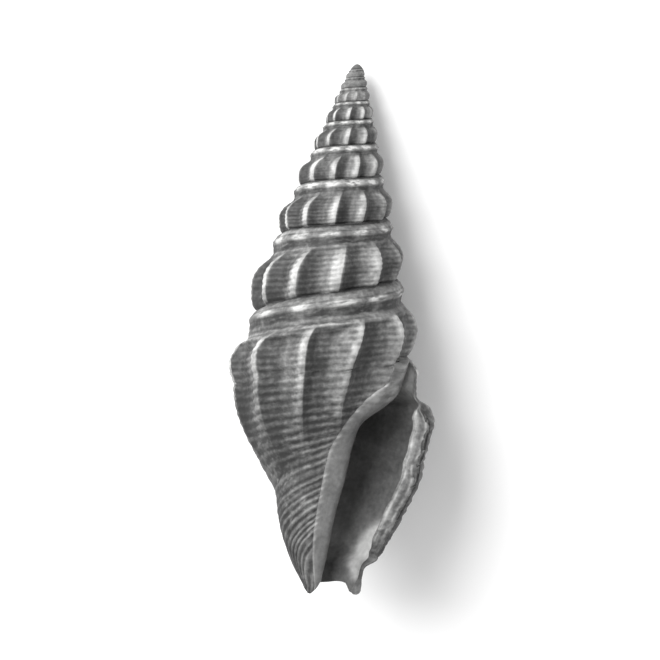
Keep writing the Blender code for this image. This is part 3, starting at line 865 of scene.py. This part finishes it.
    # The stone's own tone, with the painted highlights and shade added to it.
    tone_with_painted_light = base - 0.5 * mottle * (0.45 + 0.35 + 0.40 + 0.12)
    for value, share in parts:
        tone_with_painted_light = math_node(tree, "ADD", math_node(tree, "MULTIPLY", value, share), tone_with_painted_light)
    tone_with_painted_light = math_node(tree, "POWER", math_node(tree, "MINIMUM", math_node(tree, "MAXIMUM", tone_with_painted_light, 0.05), 0.79), 2.2)
    colour = node(tree, "ShaderNodeMix", {"Factor": tone_with_painted_light, "A": DARK_STONE, "B": PALE_STONE}, data_type="RGBA")
    tree.links.new(colour.outputs["Result"], shader.inputs["Base Color"])
    shader.inputs["Roughness"].default_value = 0.62
    bump = node(tree, "ShaderNodeBump", {"Strength": grain, "Distance": 0.0001, "Height": fine})
    tree.links.new(bump.outputs["Normal"], shader.inputs["Normal"])
    return material


weathered = stone_material("weathered_shell", 0.36, 1.0, 0.5)
glazed = stone_material("glazed_shell", 0.41, 0.5, 0.15)

# %% [markdown]
# ## Ribs, threads and wear
#
# A tree of Geometry Nodes moves each point along its stored direction. A cosine of the rib
# number cuts the hollows between the ribs, a cosine of the thread number raises the threads,
# and noise wears both. All the heights are inputs of the tree, so they can be tuned without
# touching the mesh. At the end everything under the ground is pressed flat, where the CAD part
# has its resting flats.

# %%
carving = bpy.data.node_groups.new("shell_carving", "GeometryNodeTree")
carving.interface.new_socket("Geometry", in_out="INPUT", socket_type="NodeSocketGeometry")
for title, value in CARVING_INPUTS.items():
    socket = carving.interface.new_socket(title, in_out="INPUT", socket_type="NodeSocketFloat")
    socket.default_value = value
carving.interface.new_socket("Outside", in_out="INPUT", socket_type="NodeSocketMaterial")
carving.interface.new_socket("Inside", in_out="INPUT", socket_type="NodeSocketMaterial")
carving.interface.new_socket("Geometry", in_out="OUTPUT", socket_type="NodeSocketGeometry")
given = carving.nodes.new("NodeGroupInput").outputs
result = carving.nodes.new("NodeGroupOutput")


def stored(name, kind="FLOAT"):
    """A stored attribute, in Geometry Nodes."""
    return node(carving, "GeometryNodeInputNamedAttribute", {"Name": name}, data_type=kind).outputs["Attribute"]


def wave(number, sharpness):
    """1 where the number is whole, 0 halfway between, and narrower for a higher sharpness."""
    angle = math_node(carving, "MULTIPLY", number, 2.0 * math.pi)
    half = math_node(carving, "MULTIPLY", math_node(carving, "COSINE", angle), 0.5)
    return math_node(carving, "POWER", math_node(carving, "ADD", half, 0.5, clamp=True), sharpness)


def times(*values):
    """The product of all the values."""
    product = values[0]
    for value in values[1:]:
        product = math_node(carving, "MULTIPLY", product, value)
    return product


def plus(*values):
    """The sum of all the values."""
    total = values[0]
    for value in values[1:]:
        total = math_node(carving, "ADD", total, value)
    return total


def noise(scale, detail, stretch=(1.0, 1.0, 1.0)):
    """Noise from -0.5 to 0.5 at every point of the shell."""
    place = node(carving, "GeometryNodeInputPosition").outputs["Position"]
    place = node(carving, "ShaderNodeVectorMath", {0: place, 1: stretch}, operation="MULTIPLY").outputs["Vector"]
    grain = node(carving, "ShaderNodeTexNoise", {"Vector": place, "Scale": scale, "Detail": detail})
    return math_node(carving, "SUBTRACT", grain.outputs["Fac"], 0.5)


number = stored("rib_number")
from_crest = math_node(carving, "SUBTRACT", number, math_node(carving, "ROUND", number))
spread = times(stored("broad"), given["Spire Rib Spread"])
in_front = math_node(carving, "GREATER_THAN", from_crest, 0.0)
narrower = math_node(carving, "SUBTRACT", given["Rib Front"], given["Rib Back"])
rib_width = plus(given["Rib Back"], times(in_front, narrower), spread)
steps_out = math_node(carving, "DIVIDE", from_crest, rib_width)
crest = math_node(carving, "EXPONENT", times(steps_out, steps_out, -1.0))
hollow = math_node(carving, "SUBTRACT", 1.0, crest)
rib_cut = times(stored("rib_reach"), given["Rib Height"], hollow, -1.0)
thread = wave(plus(stored("thread_number"), times(noise(900.0, 3.0), 0.35)), 1.2)
thread_lift = times(
    plus(thread, -0.5), stored("thread_reach"), plus(times(noise(260.0, 5.0), 3.0), 1.0), given["Thread Height"]
)
outside_mask = math_node(carving, "GREATER_THAN", stored("rib_reach"), 0.0)
growth_number = plus(times(stored("rib_number"), 9.0), times(noise(300.0, 2.0), 4.0))
growth_lift = times(plus(wave(growth_number, 1.0), -0.5), given["Growth Line Height"], outside_mask)
wear = times(noise(700.0, 4.0), given["Wear"], plus(times(stored("rough"), 2.0), 1.0))
chips = times(noise(2000.0, 3.0), given["Chips"], stored("rough"))
on_lip = stored("lip_marks")
layer_number = plus(times(stored("lip"), 1.55), 0.35, times(noise(420.0, 2.0), 0.7))
layer = times(wave(layer_number, 1.0), on_lip)
layer_lift = times(layer, given["Layer Height"])
lift = times(plus(rib_cut, thread_lift, growth_lift, wear, chips, layer_lift), MM)
move = node(
    carving, "ShaderNodeVectorMath", {0: stored("direction", "FLOAT_VECTOR"), "Scale": lift}, operation="SCALE"
).outputs["Vector"]

moved = node(
    carving, "GeometryNodeSetPosition", {"Geometry": given["Geometry"], "Offset": move}
)
above_ground = node(
    carving,
    "ShaderNodeVectorMath",
    {0: node(carving, "GeometryNodeInputPosition").outputs["Position"], 1: (-1.0, -1.0, 0.0)},
    operation="MAXIMUM",
)
pressed = node(
    carving,
    "GeometryNodeSetPosition",
    {"Geometry": moved.outputs["Geometry"], "Position": above_ground.outputs["Vector"]},
)
plain = node(carving, "GeometryNodeRealizeInstances", {"Geometry": pressed.outputs["Geometry"]})
painted = node(
    carving, "GeometryNodeSetMaterial", {"Geometry": plain.outputs["Geometry"], "Material": given["Outside"]}
)
in_glaze = math_node(carving, "GREATER_THAN", stored("glaze"), 0.5)
finished = node(
    carving,
    "GeometryNodeSetMaterial",
    {"Geometry": painted.outputs["Geometry"], "Selection": in_glaze, "Material": given["Inside"]},
)
carving.links.new(finished.outputs["Geometry"], result.inputs["Geometry"])

# %% [markdown]
# ## Applying the tree
#
# The modifier's inputs are found by the sockets' identifiers. The evaluated result is copied
# into a plain mesh, which replaces the smooth one, and the modifier goes.

# %%
modifier = shell.modifiers.new("carving", "NODES")
modifier.node_group = carving
settings = dict(CARVING_INPUTS, Outside=weathered, Inside=glazed)
for item in carving.interface.items_tree:
    if item.in_out == "INPUT" and item.name in settings:
        modifier[item.identifier] = settings[item.name]
depsgraph = bpy.context.evaluated_depsgraph_get()
carved = bpy.data.meshes.new_from_object(shell.evaluated_get(depsgraph))
shell.modifiers.remove(modifier)
shell.data = carved
carved.name = "fossil_shell"
print("triangles:", sum(len(polygon.vertices) - 2 for polygon in carved.polygons))

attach(shell, "root")
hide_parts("shell")

# %% [markdown]
# ## Floor, light and camera
#
# A plain pale floor carries the shell. One broad lamp at the upper left of the picture rakes
# across the ribs, and a pale sky fills the shadows. The camera looks straight down on the
# shell's own front, as the old plate did, from far enough to keep the spire slim.

# %%
FLOOR_SIZE = 4.0
bpy.ops.mesh.primitive_plane_add(size=FLOOR_SIZE)
floor = bpy.context.object
floor.name = "floor"
paper = bpy.data.materials.new("pale_floor")
paper.use_nodes = True
paper.node_tree.nodes["Principled BSDF"].inputs["Base Color"].default_value = (0.92, 0.92, 0.92, 1.0)
paper.node_tree.nodes["Principled BSDF"].inputs["Roughness"].default_value = 0.9
floor.data.materials.append(paper)

world = bpy.data.worlds.new("sky")
world.use_nodes = True
world.node_tree.nodes["Background"].inputs["Color"].default_value = (1.0, 1.0, 1.0, 1.0)
world.node_tree.nodes["Background"].inputs["Strength"].default_value = 0.70
bpy.context.scene.world = world
bpy.context.scene.view_settings.view_transform = "Standard"

# %%
PICTURE_TILT = math.atan(0.112)
PICTURE_WIDTH = 55.98
PICTURE_CENTRE = (0.193, -22.68, 0.0)
LENS = 200.0
SENSOR = 36.0
right = turned @ np.array((math.cos(PICTURE_TILT), math.sin(PICTURE_TILT), 0.0))
up = turned @ np.array((-math.sin(PICTURE_TILT), math.cos(PICTURE_TILT), 0.0))
toward = turned @ np.array((0.0, 0.0, 1.0))
centre = placed(np.array(PICTURE_CENTRE))


def aimed(name, data, spot):
    """Links an object at the spot, looking at the picture's centre, with the picture's up."""
    made = bpy.data.objects.new(name, data)
    away = (spot - centre) / np.linalg.norm(spot - centre)
    side = np.cross(up, away)
    side /= np.linalg.norm(side)
    axes = np.column_stack((side, np.cross(away, side), away))
    made.matrix_world = Matrix([[*axes[i], spot[i]] for i in range(3)] + [[0.0, 0.0, 0.0, 1.0]])
    bpy.context.scene.collection.objects.link(made)
    return made


lens = bpy.data.cameras.new("camera")
lens.lens = LENS
lens.sensor_width = SENSOR
lens.clip_start = 0.01
distance = PICTURE_WIDTH * MM * LENS / SENSOR
camera = aimed("camera", lens, centre + toward * distance)
bpy.context.scene.camera = camera

key = bpy.data.lights.new("key", "AREA")
key.size = 0.22
key.energy = 1.66
aimed("key", key, centre + 0.34 * (-0.50 * right + 0.35 * up + 0.79 * toward))
print("camera distance, mm:", round(distance / MM, 1))
